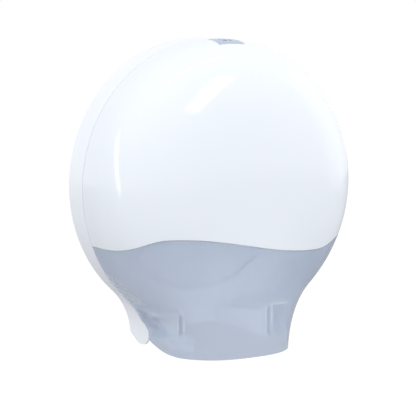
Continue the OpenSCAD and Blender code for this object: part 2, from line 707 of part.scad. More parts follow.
// The tray's side profile, grown by the gap, all that lies behind the nose, and the window's rounded heel
heel_rise = 13.5;
heel_l = 56;
heel_steps = 8;
module ear_clearance() {
    nose = hinge_depth + ear_r + cover_gap;
    union() {
        tray_profile(cover_gap);
        polygon(concat([[-1, -bottom_drop - 5], [-1, -hinge_drop], [nose, -hinge_drop]],
            [for (k = [0:heel_steps]) let (t = k / heel_steps)
                [nose + heel_l * t, -bottom_drop + heel_rise * pow(1 - t, 2)]],
            [[nose + heel_l, -bottom_drop - 5]]));
    }
}
module window_tab(x) {
    d = tab_depth(x);
    z = wave(x);
    block(x - tab_w / 2, x + tab_w / 2, d, d + tab_t, z - tab_foot, z + post_rise + tab_rise);
    block(x - tab_w / 2, x + tab_w / 2, d, patch_depth(x, z - tab_foot, z - tab_step) + wall / 2,
          z - tab_foot, z - tab_step);
}
clip_t = 1.1;
clip_r = 5;
module window_clips() color([0.75, 0.76, 0.78])
    for (x = tab_x) difference() {
        rod_y(x, wave(x) + post_rise, tab_depth(x) - clip_t - 0.02, tab_depth(x) - 0.02, clip_r);
        rod_y(x, wave(x) + post_rise, tab_depth(x) - clip_t - 1, tab_depth(x) + 1, post_r + 0.05);
    }

// ---- tear strips ----------------------------------------------------------------------------

strip_z0 = -187.5;
strip_h = 18;
strip_t = 1.2;
strip_start = 0.4;
strip_end = 0.76;
teeth = 8;
// Depth and half width of the window's inside at the strip's foot, a share f of the way round to the front
function strip_depth(f) = face_depth_at(pow(1 - pow(f, neck_power), 1 / neck_power), f, wall);
function strip_x(f) = outline_x(strip_z0, strip_depth(f), wall) * pow(1 - pow(f, neck_power), 1 / neck_power);
strip_run = [strip_depth(strip_end) - strip_depth(strip_start), strip_x(strip_start) - strip_x(strip_end)];
strip_angle = atan(strip_run[1] / strip_run[0]);
strip_l = norm(strip_run);
strip_gap = 0.3;
tooth_h = 2.5;
rivet_r = 1.5;
rivet_z = strip_z0 + strip_h / 2 + 1;
rivet_places = [5, strip_l - 5];
// Lays a strip against the side wall, which leans in with depth
module on_window_wall() {
    translate([strip_x(strip_start) - strip_gap, -strip_depth(strip_start), 0])
        rotate([0, 0, -strip_angle]) children();
}
module tear_strip() color([0.80, 0.83, 0.88]) on_window_wall() difference() {
    rotate([90, 0, -90]) linear_extrude(strip_t) polygon(concat(
        [[0, strip_z0 + strip_h], [strip_l, strip_z0 + strip_h]],
        [for (k = [teeth:-1:0]) each [[strip_l * k / teeth, strip_z0 + tooth_h],
            if (k > 0) [strip_l * (k - 0.5) / teeth, strip_z0]]]));
    for (d = rivet_places) translate([-strip_t - 1, -d, rivet_z]) rotate([0, 90, 0])
        cylinder(r = rivet_r + 0.1, h = 8);
}
module tear_strip_right() tear_strip();
module tear_strip_left() mirror([1, 0, 0]) tear_strip();
module tear_strip_rivets() color([0.75, 0.76, 0.78])
    both_sides() on_window_wall() for (d = rivet_places)
        translate([-strip_t - 1, -d, rivet_z]) rotate([0, 90, 0]) union() {
            cylinder(r1 = rivet_r + 0.3, r2 = rivet_r + 1.1, h = 1);
            cylinder(r = rivet_r, h = 1 + strip_t);
        }

// ---- lock -----------------------------------------------------------------------------------

// Square plate with round corners, flat below and curved across like the shell above
module lock_plate() color([0.74, 0.77, 0.82]) at_lock() difference() {
    intersection() {
        translate([0, 0, 0.02]) linear_extrude(plate_t + 1) rounded_square(lock_plate_w, 3);
        translate([0, lock_plate_w, plate_t - shell_r]) rotate([90, 0, 0]) 
            cylinder(r = shell_r, h = 2 * lock_plate_w, $fn = 720);
    }
    translate([0, 0, -1]) cylinder(r = barrel_r + 1.6, h = 5);
}
housing_r = barrel_r + 2.4;
housing_h = 12;
collar_h = 0.5;
module lock_housing() color([0.70, 0.72, 0.75]) at_lock() difference() {
    union() {
        translate([0, 0, -seat_t - housing_h]) cylinder(r = housing_r, h = housing_h + seat_t - 0.3);
        translate([0, 0, -0.4]) cylinder(r = barrel_r + 1.4, h = plate_t + collar_h + 0.4);
    }
    translate([0, 0, -cam_drop]) cylinder(r = barrel_r + barrel_clear, h = 40);
}
nut_h = 3.5;
module lock_nut() color([0.72, 0.73, 0.75]) at_lock() translate([0, 0, -seat_t - nut_h - 0.02]) difference() {
    cylinder(r = 12.5, h = nut_h, $fn = 6);
    translate([0, 0, -1]) cylinder(r = housing_r + 0.02, h = nut_h + 2);
}
barrel_top = plate_t + 0.9;
shank_gap = 0.02;
module lock_barrel() color([0.66, 0.68, 0.72]) at_lock() difference() {
    foot = cam_t + shank_gap - cam_drop;
    union() {
        translate([0, 0, foot]) cylinder(r = barrel_r, h = barrel_top - foot);
        translate([0, 0, foot]) cylinder(r = barrel_r + 1.4, h = -seat_t - housing_h - foot - 0.3);
        translate([-3, -3, 0.1 - cam_drop]) cube([6, 6, cam_t + 1]);
    }
    // round key socket with its slot
    translate([0, 0, barrel_top - 7]) cylinder(r = 2.2, h = 10);
    translate([0, 0, barrel_top - 3.5]) cube([8, 1.6, 7.01], center = true);
    translate([0, 0, -cam_drop - 2]) cylinder(r = 1.2, h = 9);
}
module lock_cam() color([0.72, 0.73, 0.75]) at_lock() translate([0, 0, -cam_drop]) difference() {
    linear_extrude(cam_t) union() {
        circle(7);
        translate([0, -5]) square([cam_l, 10]);
        translate([cam_l - cam_finger, -5]) square([cam_finger, 19]);
    }
    translate([-3.1, -3.1, -1]) cube([6.2, 6.2, cam_t + 2]);
}
module cam_screw() color([0.75, 0.76, 0.78]) at_lock() translate([0, 0, -cam_drop]) union() {
    translate([0, 0, -2.02]) cylinder(r = 4.5, h = 2);
    translate([0, 0, -1]) cylinder(r = 1.18, h = 7);
}

back_plate();
paper_guide_left();
paper_guide_right();
guide_screws();
hinge_pin_left();
hinge_pin_right();
latch_keeper();
keeper_screws();
spindle();
spindle_screws();
brake_washer();
roll_hub();
hub_cap();
hub_screw();
cover_shell();
cover_window();
window_clips();
tear_strip_left();
tear_strip_right();
tear_strip_rivets();
lock_plate();
lock_housing();
lock_nut();
lock_barrel();
lock_cam();
cam_screw();
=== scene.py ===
# %% [markdown]
# # A jumbo toilet roll dispenser in moulded plastic
# The real thing is a white tray screwed to the wall, a white front cover that hinges forward on two pins low
# down, and a smoked window that closes the foot of that cover along a wave. Every solid already exists, at
# its real size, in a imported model: the frame. This lesson dresses it. The big mouldings and the lock's plate
# are made again as smooth surfaces, the small metal and rubber parts keep their solids, and every part gets a
# finish.

# %% Load the frame
import math

import bmesh
import bpy
import numpy as np
from mathutils import Matrix, Vector


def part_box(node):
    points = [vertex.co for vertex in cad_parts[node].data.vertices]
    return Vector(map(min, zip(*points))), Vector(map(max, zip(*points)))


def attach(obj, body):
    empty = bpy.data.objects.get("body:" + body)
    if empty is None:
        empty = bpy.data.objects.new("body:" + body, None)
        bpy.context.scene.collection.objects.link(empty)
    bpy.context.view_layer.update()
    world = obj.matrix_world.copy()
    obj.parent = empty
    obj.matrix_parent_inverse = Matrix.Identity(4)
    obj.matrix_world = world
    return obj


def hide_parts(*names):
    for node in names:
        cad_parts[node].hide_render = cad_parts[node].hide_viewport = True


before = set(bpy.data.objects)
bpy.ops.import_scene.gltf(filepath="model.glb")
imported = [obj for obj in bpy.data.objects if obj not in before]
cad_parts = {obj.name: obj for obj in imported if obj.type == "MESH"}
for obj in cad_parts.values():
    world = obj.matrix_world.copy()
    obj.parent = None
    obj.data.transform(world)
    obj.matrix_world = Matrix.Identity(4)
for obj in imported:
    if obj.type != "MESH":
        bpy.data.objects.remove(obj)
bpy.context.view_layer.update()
print("nodes in the frame:", len(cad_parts))

# %% [markdown]
# ## Sizes
# Blender works in metres. The overall sizes are read from the frame, so the smooth surfaces always fit the
# solids. The rest are the few dimensions that a box can't tell: how the outline turns and how the edge
# rounds.

# %% Driving sizes
MM = 0.001
tray_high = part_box("back_plate")[1]
shell_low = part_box("cover_shell")[0]
window_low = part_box("cover_window")[0]

ROUND_R = tray_high.z
BOTTOM_Z = window_low.z
FRONT_DEPTH = -shell_low.y
DOME = 8 * MM
FACE_DEPTH = FRONT_DEPTH - DOME
WALL_DEPTH = 38 * MM
WALL = 2.5 * MM
NECK_BACK = 91 * MM
NECK_FRONT = 75 * MM
FLARE_X = NECK_BACK + 77 * MM
TURN_ANGLE = -40.0
ROUND_POWER = 3.6
NECK_POWER = 3.2
print(f"round part {2000 * ROUND_R:.0f} mm across, {1000 * FRONT_DEPTH:.0f} mm deep")

# %% [markdown]
# ## From arrays to meshes
# Each new part is a stack of rings or a grid of points, worked out by numpy as a whole array. One helper
# turns grids into a mesh: it lays a quad on every cell, merges the points where grids meet, and turns all
# faces outwards. Shading is smooth, except across edges that are really sharp.

# %% Mesh helpers
def mix(a, b, t):
    """The value a share t of the way from a to b."""
    return a + (b - a) * t


def cells(rows, cols, wrap):
    """Corner numbers of the quads on a grid of points; wrap joins the last column to the first."""
    i, j = np.meshgrid(np.arange(rows - 1), np.arange(cols if wrap else cols - 1), indexing="ij")
    k = (j + 1) % cols
    return np.stack([i * cols + j, i * cols + k, (i + 1) * cols + k, (i + 1) * cols + j], -1).reshape(-1, 4)


def piece_from(name, grids, wrap=False, sharp=35):
    """One closed mesh from several grids of points, each an array of rows, columns and x, y, z."""
    points, quads, count = [], [], 0
    for grid in grids:
        points.append(grid.reshape(-1, 3))
        quads.append(cells(grid.shape[0], grid.shape[1], wrap) + count)
        count += points[-1].shape[0]
    mesh = bpy.data.meshes.new(name)
    mesh.from_pydata(np.concatenate(points), [], np.concatenate(quads))
    work = bmesh.new()
    work.from_mesh(mesh)
    bmesh.ops.remove_doubles(work, verts=work.verts, dist=0.002 * MM)
    bmesh.ops.recalc_face_normals(work, faces=work.faces)
    open_edges = sum(len(e.link_faces) != 2 for e in work.edges)
    work.to_mesh(mesh)
    work.free()
    mesh.shade_smooth()
    mesh.set_sharp_from_angle(angle=math.radians(sharp))
    piece = bpy.data.objects.new(name, mesh)
    bpy.context.scene.collection.objects.link(piece)
    print(f"{name}: {len(mesh.polygons)} faces, {open_edges} open edges")
    return piece


def soften(piece, width, segments=2, angle=40):
    """A small radius on every edge sharper than the angle, as a mould leaves."""
    bevel = piece.modifiers.new("soft_edges", "BEVEL")
    bevel.width = width
    bevel.segments = segments
    bevel.limit_method = "ANGLE"
    bevel.angle_limit = math.radians(angle)
    bevel.harden_normals = False
    return piece


# %% [markdown]
# ## The outline of the casing
# From the front the casing is a true circle that runs through two hollow flares into a short neck. The neck
# gets narrower towards the front. A column of the skin is numbered by s: from 0 at the top to 1 where the
# circle is left, and on to 2 at the bottom edge. Depth is measured from the wall.

# %% Outline functions
def neck_at(depth):
    """Half width of the neck: it narrows evenly from the wall to the front."""
    return mix(NECK_BACK, NECK_FRONT, depth / FRONT_DEPTH)


def outline_x(z, depth, inset):
    """Half width at height z: the circle, then an arc that is hollow from outside, then the straight neck.
    The arc's centre is level with the start of the neck, one neck and one arc radius from the middle."""
    arc_r = FLARE_X - neck_at(depth)
    arc_z = -np.sqrt((ROUND_R + arc_r) ** 2 - FLARE_X ** 2)
    touch_z = arc_z * (ROUND_R - inset) / (ROUND_R + arc_r)
    circle = np.sqrt(np.maximum((ROUND_R - inset) ** 2 - z ** 2, 0))
    arc = FLARE_X - np.sqrt(np.maximum((arc_r + inset) ** 2 - (z - arc_z) ** 2, 0))
    return np.where(z > touch_z, circle, np.where(z > arc_z, arc, neck_at(depth) - inset))


def edge_point(s, depth, inset):
    """Half width and height of the outline in column s: by angle on the circle, then by height."""
    angle = np.radians(mix(90.0, TURN_ANGLE, np.clip(s, 0, 1)))
    leave_z = (ROUND_R - inset) * math.sin(math.radians(TURN_ANGLE))
    low_z = mix(leave_z, BOTTOM_Z, np.clip(s - 1, 0, 1))
    z = np.where(s <= 1, (ROUND_R - inset) * np.sin(angle), low_z)
    x = np.where(s <= 1, (ROUND_R - inset) * np.cos(angle), outline_x(low_z, depth, inset))
    return x, z


def sink(s):
    """How far down the spine a column starts: nothing on the circle, then gently faster, all at the edge."""
    share = np.clip(s - 1, 0, 1)
    return share ** 2 * (2 - share)


# %% [markdown]
# The front edge rounds over as a superellipse: with c the share of the way out from the spine and f the
# share of the way forward, the sum of c and f, each to the power p, is one. A high power gives the tight edge
# of the round part, a lower one the soft edge of the neck. Steps are taken evenly in f while the surface
# faces sideways and evenly in c once it faces forward, so that no stretch of it is coarse.

# %% The casing as a function of two parameters
def round_over(t, s):
    """The shares c and f at step t, from 0 on the side wall to 1 on the spine."""
    power = mix(ROUND_POWER, NECK_POWER, sink(s))
    corner = 0.5 ** (1 / power)
    rising = np.clip(2 * t, 0, 1) * corner
    closing = np.clip(2 - 2 * t, 0, 1) * corner
    c = np.where(t <= 0.5, (1 - rising ** power) ** (1 / power), closing)
    f = np.where(t <= 0.5, rising, (1 - closing ** power) ** (1 / power))
    return c, f


def casing(s, t, side, inset):
    """Points of the skin. t runs from -1 at the wall to 0 where the side wall ends, then to 1 at the spine. A
    point lies on the line from the spine to the outline, a share c of the way."""
    c, f = round_over(np.clip(t, 0, 1), s)
    front = WALL_DEPTH + (FACE_DEPTH - inset - WALL_DEPTH) * f + DOME * (1 - c ** 2)
    depth = np.where(t < 0, WALL_DEPTH * (1 + t), front)
    x, z = edge_point(s, depth, inset)
    spine_z = BOTTOM_Z * sink(s)
    return np.stack([side * x * c, -depth + 0 * x, spine_z + (z - spine_z) * c], -1)


# %% [markdown]
# ## The cover's rear edge and heel
# The tray's rim keeps its depth down to the middle, draws in to a waist and swells into the round nose of the
# ear, which holds the hinge pin. The cover's edge follows all of that one small gap further forward. In front
# of the ears the window's bottom edge rises, so that the cover can swing down without meeting the wall.

# %% Rear edge and heel as functions
RIM_DEPTH = 34 * MM
RIM_Z = -20 * MM
WAIST_DEPTH = 18 * MM
WAIST_Z = -130 * MM
HINGE_DEPTH = 22.5 * MM
HINGE_Z = -173.5 * MM
EAR_R = 15.5 * MM
COVER_GAP = 0.5 * MM
NOSE_DEPTH = HINGE_DEPTH + EAR_R + COVER_GAP
HEEL_RISE = 13.5 * MM
HEEL_RUN = 56 * MM


def rear_depth(z):
    """Depth of the cover's rear edge at height z: the rim, or the ear's nose where that is further out."""
    above = mix(RIM_DEPTH, WAIST_DEPTH, np.clip((RIM_Z - z) / (RIM_Z - WAIST_Z), 0, 1) ** 2)
    swell = np.clip((WAIST_Z - z) / (WAIST_Z - HINGE_Z), 0, 1) ** 1.3
    rim = np.where(z > WAIST_Z, above, mix(WAIST_DEPTH, HINGE_DEPTH + EAR_R, swell)) + COVER_GAP
    rise = np.maximum(z - HINGE_Z, 0)
    nose = HINGE_DEPTH + np.sqrt(np.maximum((EAR_R + COVER_GAP) ** 2 - rise ** 2, 0))
    return np.where(rise < EAR_R, np.maximum(rim, nose), rim)


def heel(depth):
    """Height of the bottom edge at a depth: it rises with the square of the way back to the ear."""
    back = 1 - np.clip((depth - NOSE_DEPTH) / HEEL_RUN, 0, 1)
    return BOTTOM_Z + HEEL_RISE * back ** 2


def rear_step(s, inset):
    """The step t at which column s reaches the rear edge, on the side wall or just past its end."""
    depth = rear_depth(edge_point(s, WALL_DEPTH, inset)[1])
    corner = 0.5 ** (1 / mix(ROUND_POWER, NECK_POWER, sink(s)))
    past = (depth - WALL_DEPTH) / (FACE_DEPTH - inset - WALL_DEPTH) / (2 * corner)
    return np.where(depth < WALL_DEPTH, depth / WALL_DEPTH - 1, past)


JOIN_STEP = 0.01


def row_step(v, s, inset):
    """Rows are numbered by v: -1 at the rear edge, 0 just past the end of the side wall, 1 at the spine."""
    return np.where(v < 0, mix(JOIN_STEP, rear_step(s, inset), -v), mix(JOIN_STEP, 1, v))


# %% [markdown]
# ## The wave
# Shell and window meet along a wave: a crest left of the middle and a trough right of it, joined by half
# cosines so that it has no kink. For each row of the skin the column where it crosses the wave is found by
# halving an interval, for all rows at once.

# %% Wave functions
WAVE_X = np.array([-162, -106, 98, 168]) * MM
WAVE_DROP = np.array([66, 52.5, 78, 59]) * MM
SEAM_GAP = 0.4 * MM


def wave(x):
    """Height of the seam: between two turning points it eases as half a cosine."""
    k = np.clip(np.searchsorted(WAVE_X, x) - 1, 0, 2)
    t = np.clip((x - WAVE_X[k]) / (WAVE_X[k + 1] - WAVE_X[k]), 0, 1)
    return -mix(WAVE_DROP[k], WAVE_DROP[k + 1], (1 - np.cos(np.pi * t)) / 2)


def crossing(v, side, inset, curve, low_s):
    """The column s at which each row v comes down to a curve, which gives a height for x and depth."""
    low, high = np.full_like(v, low_s), np.full_like(v, 2.0)
    for _ in range(40):
        middle = (low + high) / 2
        p = casing(middle, row_step(v, middle, inset), side, inset)
        above = p[..., 2] > curve(p[..., 0], -p[..., 1])
        low = np.where(above, middle, low)
        high = np.where(above, high, middle)
    return (low + high) / 2


def shell_foot(x, depth):
    """The shell's lower edge."""
    return wave(x) + SEAM_GAP / 2


def window_top(x, depth):
    """The window's upper edge."""
    return wave(x) - SEAM_GAP / 2


def window_foot(x, depth):
    """The window's lower edge."""
    return heel(depth)


# %% [markdown]
# ## The white shell
# One grid covers the outside and one the inside. Columns run from the wave on the left over the top to the
# wave on the right, rows from the seam with the tray to the middle of the front. A square of cells is left
# out in the crown for the lock, and four narrow grids close the edges. Grid lines are moved onto the square's
# edges, because a hole cut by Boolean would leave slivers in the smooth skin.

# %% Build the shell
LOCK_DEPTH = 66 * MM
PLATE_SIDE = 34 * MM
PLATE_T = 2 * MM
OPENING_HALF = PLATE_SIDE / 2 + 0.3 * MM


def crown_z(depth):
    """Height of the shell's crown at a depth past the end of the side wall."""
    forward_share = (depth - WALL_DEPTH) / (FACE_DEPTH - WALL_DEPTH)
    return ROUND_R * (1 - forward_share ** ROUND_POWER) ** (1 / ROUND_POWER)


plate_back = crown_z(LOCK_DEPTH - PLATE_SIDE / 2)
plate_front = crown_z(LOCK_DEPTH + PLATE_SIDE / 2)
LOCK_TILT = math.atan((plate_back - plate_front) / PLATE_SIDE)
RECESS_Z = (plate_back + plate_front) / 2 - PLATE_T
print(f"the lock leans forward {math.degrees(LOCK_TILT):.1f} degrees")


def at_lock(points):
    """Points given in the lock's own frame, its floor at height 0, moved and leaned to their place."""
    turn = np.array([[1, 0, 0], [0, math.cos(LOCK_TILT), math.sin(LOCK_TILT)],
                     [0, -math.sin(LOCK_TILT), math.cos(LOCK_TILT)]])
    return points @ turn + [0, -LOCK_DEPTH, RECESS_Z]


def row_of_depth(depth):
    """The row v at which the crown reaches a depth, found by halving."""
    low, high = 0.0, 0.5
    for _ in range(40):
        v = (low + high) / 2
        reached = -casing(np.array(0.0), row_step(np.array(v), 0, 0), 1, 0)[1]
        low, high = (v, high) if reached < depth else (low, v)
    return low


def with_stops(values, stops):
    """The values with the nearest ones moved onto the stops, so that grid lines fall exactly there."""
    values = values.copy()
    for stop in stops:
        values[np.argmin(abs(values - stop))] = stop
    return values


ends = at_lock(np.array([[0, OPENING_HALF, PLATE_T], [0, -OPENING_HALF, PLATE_T]]))
stops = [row_of_depth(-y) for y in ends[:, 1]]
rows = np.concatenate([np.linspace(-1, 0, 8)[:-1], np.linspace(0, 0.5, 40)[:-1], np.linspace(0.5, 1, 44)])
rows = with_stops(rows, stops)
# columns: 0 at the crown, 1 at the opening's side, 2 at the wave
fan = np.concatenate([np.linspace(0, 1, 8)[:-1], np.linspace(1, 2, 90)])
back_row, front_row = [int(np.argmin(abs(rows - stop))) for stop in stops]


def shell_skin(inset):
    """Half grids left and right of the crown, joined. The opening's sides keep their distance from the middle
    while the skin draws in, so that it is a true square from above."""
    share = round_over(np.clip(row_step(rows, 0, inset), 0, 1), 0.0)[0]
    share = np.maximum(share, share[front_row])
    beside = np.degrees(np.arcsin(OPENING_HALF / ((ROUND_R - inset) * share))) / (90 - TURN_ANGLE)
    halves = []
    for side in (-1, 1):
        foot = crossing(rows, side, inset, shell_foot, 0.3)
        s = np.where(fan <= 1, fan * beside[:, None], mix(beside[:, None], foot[:, None], fan - 1))
        halves.append(casing(s, row_step(rows[:, None], s, inset), side, inset))
    return np.concatenate([halves[0][:, :0:-1], halves[1]], 1)


outer, inner = shell_skin(0), shell_skin(WALL)
crown = len(fan) - 1
left_col, right_col = crown - 7, crown + 7


def around_opening(skin):
    """The four parts of a skin that surround the square opening, and the opening's edge as a ring."""
    parts = [skin[:, :left_col + 1], skin[:, right_col:],
             skin[:back_row + 1, left_col:right_col + 1], skin[front_row:, left_col:right_col + 1]]
    edge = np.concatenate([skin[back_row, left_col:right_col], skin[back_row:front_row, right_col],
                           skin[front_row, right_col:left_col:-1], skin[front_row:back_row:-1, left_col]])
    return parts, np.concatenate([edge, edge[:1]])


outer_parts, outer_edge = around_opening(outer)
inner_parts, inner_edge = around_opening(inner)
shell = piece_from("shell_skin", [
    *outer_parts, *inner_parts, np.stack([outer_edge, inner_edge]), np.stack([outer[0], inner[0]]),
    np.stack([outer[:, 0], inner[:, 0]]), np.stack([outer[:, -1], inner[:, -1]])])
soften(shell, 0.4 * MM)
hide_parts("cover_shell")
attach(shell, "cover")

# %% [markdown]
# ## The smoked window
# The window is one grid from side to side, and its middle row is the spine. Each row runs from the wave down
# to the heel. The first row is the rear edge on the left, the last one the rear edge on the right.

# %% Build the window
across = np.concatenate([np.linspace(-1, 0, 18)[:-1], np.linspace(0, 0.5, 36)[:-1], np.linspace(0.5, 1, 40)])
down = np.linspace(0, 1, 100)


def window_skin(inset):
    """Left half and mirrored right half, joined at the spine."""
    halves = []
    for side in (-1, 1):
        top = crossing(across, side, inset, window_top, 0.3)
        foot = crossing(across, side, inset, window_foot, 1.0)
        s = mix(top[:, None], foot[:, None], down)
        halves.append(casing(s, row_step(across[:, None], s, inset), side, inset))
    return np.concatenate([halves[0], halves[1][-2::-1]])


outer, inner = window_skin(0), window_skin(WALL)
window = piece_from("window_skin", [
    outer, inner, np.stack([outer[0], inner[0]]), np.stack([outer[-1], inner[-1]]),
    np.stack([outer[:, 0], inner[:, 0]]), np.stack([outer[:, -1], inner[:, -1]])])
soften(window, 0.3 * MM)
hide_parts("cover_window")
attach(window, "cover")

# %% [markdown]
# ## Fittings of the cover
# Five tabs on the window slip behind the shell and are held by spring clips on the shell's posts. An arm with
# an eye turns on each hinge pin. The lock's plate lies in a square seat with a round hole. All of them are
# stacks of rings: a bar has rings of four corners, a turned part rings of many. A root that enters another
# bar is set in a little from its faces, so that no two edges fall on each other and merge.

# %% Fittings
def bar(x0, x1, depth0, depth1, z0, z1):
    """A box as four rings of four corners: its foot's middle, its foot, its head and its head's middle."""
    x, y = np.array([x0, x1, x1, x0]), -np.array([depth0, depth0, depth1, depth1])
    rings = [np.stack([mix(x.mean(), x, grow), mix(y.mean(), y, grow), 0 * x + z], -1)
             for z, grow in ((z0, 0), (z0, 1), (z1, 1), (z1, 0))]
    return np.stack(rings)


def turned(profile, place, axis, count=32):
    """Rings of a turned part: each row of the profile is a radius and a distance along the axis, x or y."""
    angle = np.linspace(0, 2 * np.pi, count, endpoint=False)
    radius, along = np.array(profile)[:, :1], np.array(profile)[:, 1:]
    first, second = radius * np.cos(angle), radius * np.sin(angle)
    parts = (along + 0 * first, first, second) if axis == "x" else (first, along + 0 * first, second)
    return np.stack(parts, -1) + place


def inside_depth(x, z):
    """Depth of the window's inside nearest to a place seen from the front."""
    flat = inner.reshape(-1, 3)
    return -flat[np.argmin((flat[:, 0] - x) ** 2 + (flat[:, 2] - z) ** 2), 1]


TAB_X = np.array([-112, -58, 6, 66, 118]) * MM
TAB_HALF = 8 * MM
TAB_FOOT = 9 * MM
TAB_STEP = 3 * MM
TAB_HEAD = 16 * MM
TAB_T = 2 * MM
INTO = 0.3 * MM
POST_RISE = 9 * MM
POST_R = 2 * MM
POST_TIP = 2.6 * MM
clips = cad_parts["window_clips"]
clip_points = np.array([clips.matrix_world @ v.co for v in clips.data.vertices])
tabs, posts = [], []
for x in TAB_X:
    z = float(wave(x))
    behind = -clip_points[abs(clip_points[:, 0] - x) < TAB_HALF, 1].min()
    reach = min(inside_depth(x + side * TAB_HALF, z - TAB_FOOT) for side in (-1, 1)) + WALL / 2
    tabs.append(bar(x - TAB_HALF, x + TAB_HALF, behind, behind + TAB_T, z - TAB_FOOT, z + TAB_HEAD))
    tabs.append(bar(x - TAB_HALF + INTO, x + TAB_HALF - INTO, behind + INTO, reach, z - TAB_FOOT + INTO,
                    z - TAB_STEP))
    tip = -behind + POST_TIP
    rod = [(0, tip), (POST_R, tip), (POST_R, -reach), (0, -reach)]
    posts.append(turned(rod, (x, 0, z + POST_RISE), "y"))

EYE_X = 69.8 * MM
EYE_W = 5 * MM
EYE_R = 6.5 * MM
BORE_R = 2.58 * MM
ARM_HALF = 5 * MM
ARM_START = 2 * MM
ARM_REACH = HINGE_DEPTH + 28 * MM
WEB_T = 6 * MM
eye_ring = [(BORE_R, -EYE_W / 2), (EYE_R, -EYE_W / 2), (EYE_R, EYE_W / 2), (BORE_R, EYE_W / 2),
            (BORE_R, -EYE_W / 2)]
eyes, arms = [], []
for side in (-1, 1):
    eyes.append(turned(eye_ring, (side * (EYE_X + EYE_W / 2), -HINGE_DEPTH, HINGE_Z), "x"))
    near, far = sorted((side * EYE_X, side * (EYE_X + EYE_W)))
    arms.append(bar(near, far, HINGE_DEPTH + BORE_R + ARM_START, ARM_REACH,
                    HINGE_Z - ARM_HALF, HINGE_Z + ARM_HALF))
    near, far = sorted((side * (EYE_X + INTO), side * (float(neck_at(ARM_REACH)) - WALL / 2)))
    arms.append(bar(near, far, ARM_REACH - WEB_T, ARM_REACH - INTO, HINGE_Z - ARM_HALF + INTO,
                    HINGE_Z + ARM_HALF - INTO))


def squared(angle):
    """How much further a square reaches than a circle of its half width, at an angle."""
    return 1 / np.maximum(abs(np.cos(angle)), abs(np.sin(angle)))


HOLE_R = 9 * MM
SEAT_T = 2.6 * MM
SEAT_HALF = OPENING_HALF + 1.7 * MM
RIM_LOW = 0.3 * MM
RIM_HIGH = 1.6 * MM
angle = np.linspace(0, 2 * np.pi, 96, endpoint=False)
at_side = abs(np.cos(angle)) >= abs(np.sin(angle))
along = np.clip(np.tan(angle), -1, 1)
rim_z = np.where(at_side, mix(RIM_LOW, RIM_HIGH, 1 - along ** 2), RIM_LOW)
seat_rings = [(SEAT_HALF * squared(angle), -SEAT_T), (SEAT_HALF * squared(angle), rim_z),
              (OPENING_HALF * squared(angle), rim_z), (OPENING_HALF * squared(angle), 0),
              (HOLE_R, 0), (HOLE_R, -SEAT_T), (SEAT_HALF * squared(angle), -SEAT_T)]
seat = np.stack([np.stack([r * np.cos(angle), r * np.sin(angle), z + 0 * angle], -1) for r, z in seat_rings])

# %% [markdown]
# The lock's plate is pressed to the curve of the crown. Rings run from its round hole to its square edge with
# rounded corners, and each point lies just under the height that the shell would have there. The edge is a
# smaller square grown outwards by the corner's radius. A flat plate would be easier, but the crown's light
# would break off at its edge.

# %% The lock's plate
PLATE_CORNER = 3 * MM
PLATE_HOLE = 7.6 * MM
PLATE_HALF = PLATE_SIDE / 2 - 0.4 * MM
PLATE_SINK = 0.25 * MM
SHEET_T = 1.4 * MM
ray = np.linspace(0, 2 * np.pi, 160, endpoint=False)
straight = PLATE_HALF - PLATE_CORNER
square = PLATE_HALF * squared(ray) * np.stack([np.cos(ray), np.sin(ray)])
core = np.clip(square, -straight, straight)
outward = square - core
edge_x, edge_y = core + outward * PLATE_CORNER / np.hypot(outward[0], outward[1])


def plate_ring(share, sunk):
    """A ring at a share of the way from the hole to the edge, sunk below the crown."""
    x = mix(PLATE_HOLE * np.cos(ray), edge_x, share)
    depth = LOCK_DEPTH - mix(PLATE_HOLE * np.sin(ray), edge_y, share) * math.cos(LOCK_TILT)
    return np.stack([x, -depth, np.sqrt(crown_z(depth) ** 2 - x ** 2) - sunk], -1)


shares = np.linspace(0, 1, 9)
plate_rings = [plate_ring(share, PLATE_SINK) for share in shares]
plate_rings += [plate_ring(share, PLATE_SINK + SHEET_T) for share in shares[::-1]]
plate_rings += [plate_ring(0, PLATE_SINK)]
plate = piece_from("lock_plate_pressed", [np.stack(plate_rings)], wrap=True)
soften(plate, 0.25 * MM)
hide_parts("lock_plate")
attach(plate, "cover")

# %% [markdown]
# The other fittings become one piece of each kind, so that the list of parts stays short. Each rides with the
# cover and is softened as much as its size allows.

# %% Join the fittings
cover_fittings = []
for name, grids, edge, slot in (
        ("window_tabs", tabs, 0.3, "smoked_window"), ("window_eyes", eyes, 0.3, "smoked_window"),
        ("window_arms", arms, 0.4, "smoked_window"), ("shell_posts", posts, 0.2, "shell_white"),
        ("lock_seat", [at_lock(seat)], 0.2, "shell_white")):
    piece = soften(piece_from(name, grids, wrap=True), edge * MM)
    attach(piece, "cover")
    cover_fittings.append(piece)

# %% [markdown]
# ## The back tray
# The tray's solid already has its ribs, bosses and ears, so it isn't drawn again. Its outline is made of
# short flats, so a copy is merged and shaded smoothly across them, while real corners stay sharp.

# %% Smooth copies of solids
def smooth_copy(node, body, sharp=22):
    """A merged copy of a node that stands for it, shaded smoothly over angles up to sharp."""
    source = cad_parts[node]
    mesh = source.data.copy()
    mesh.name = node + "_smooth"
    work = bmesh.new()
    work.from_mesh(mesh)
    bmesh.ops.remove_doubles(work, verts=work.verts, dist=0.001 * MM)
    work.to_mesh(mesh)
    work.free()
    if "custom_normal" in mesh.attributes:
        mesh.attributes.remove(mesh.attributes["custom_normal"])
    mesh.shade_smooth()
    mesh.set_sharp_from_angle(angle=math.radians(sharp))
    piece = bpy.data.objects.new(mesh.name, mesh)
    bpy.context.scene.collection.objects.link(piece)
    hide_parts(node)
    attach(piece, body)
    return piece


tray = smooth_copy("back_plate", "base")

# %% [markdown]
# ## Shader arithmetic
# A finish is easier to read as a formula than as a web of nodes. `Number` wraps a socket and turns the usual
# operators into Math nodes, so `1 - mask` works. Every other node comes from one method, `node`.

